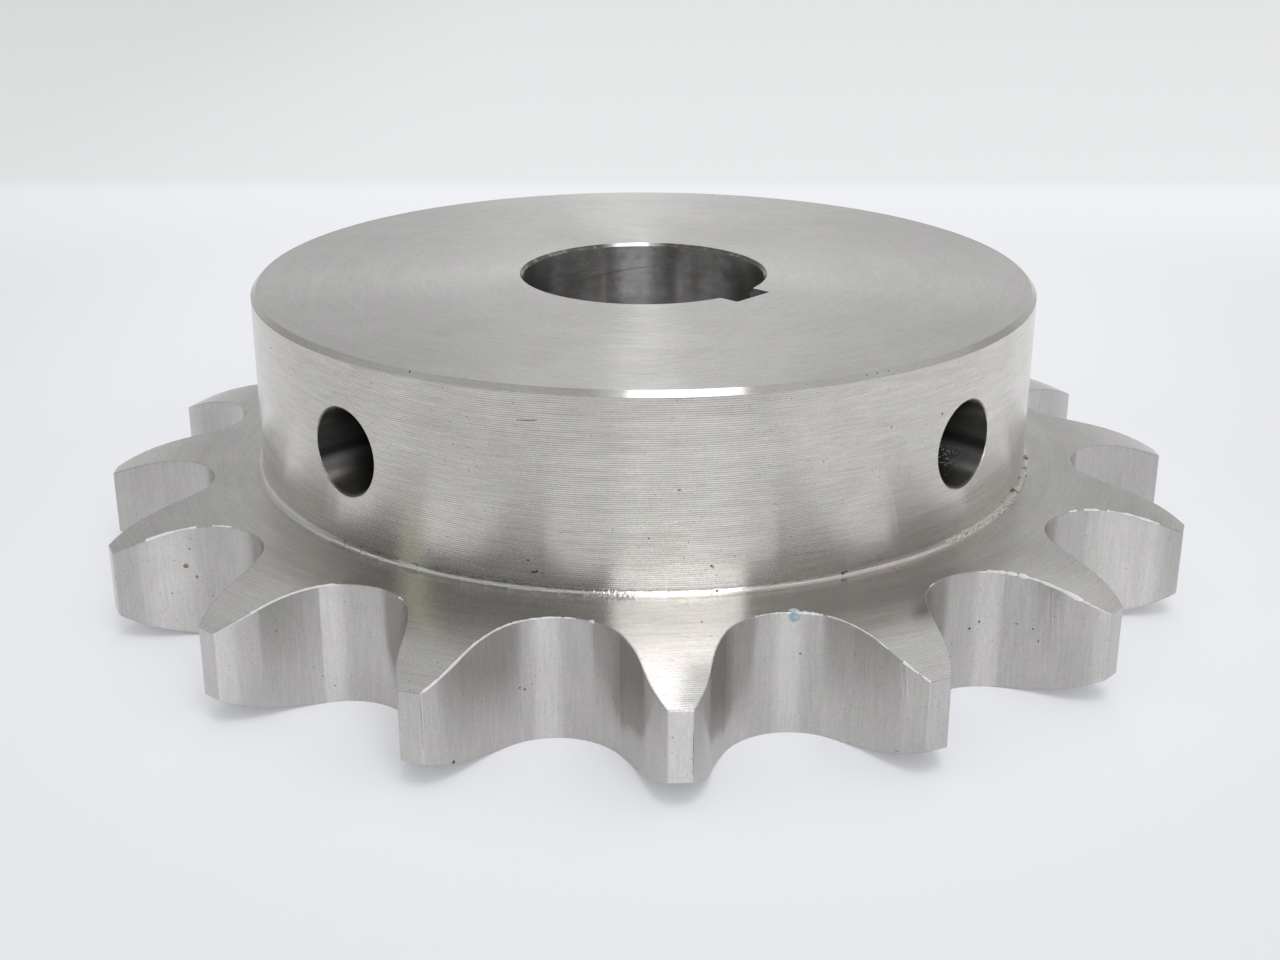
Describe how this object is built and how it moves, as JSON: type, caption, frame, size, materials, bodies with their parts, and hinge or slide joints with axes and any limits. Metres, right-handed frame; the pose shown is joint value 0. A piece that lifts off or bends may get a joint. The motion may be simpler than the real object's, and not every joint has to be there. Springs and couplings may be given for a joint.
{
  "type": "chain sprocket",
  "caption": "Roller chain sprocket with a hub on one side, a keyed bore and radial set screw holes.",
  "frame": {"origin": "centre of the bore at the flat back face of the toothed plate", "axes": "+Z along the bore, from the plate towards the hub; +X through the middle of the keyway"},
  "size_m": [0.143, 0.143, 0.0381],
  "materials": {
    "steel": "bare stainless steel, turned on the faces, hub and bore, and milled between the teeth"
  },
  "bodies": {
    "root": {"sprocket": "steel"}
  },
  "joints": []
}
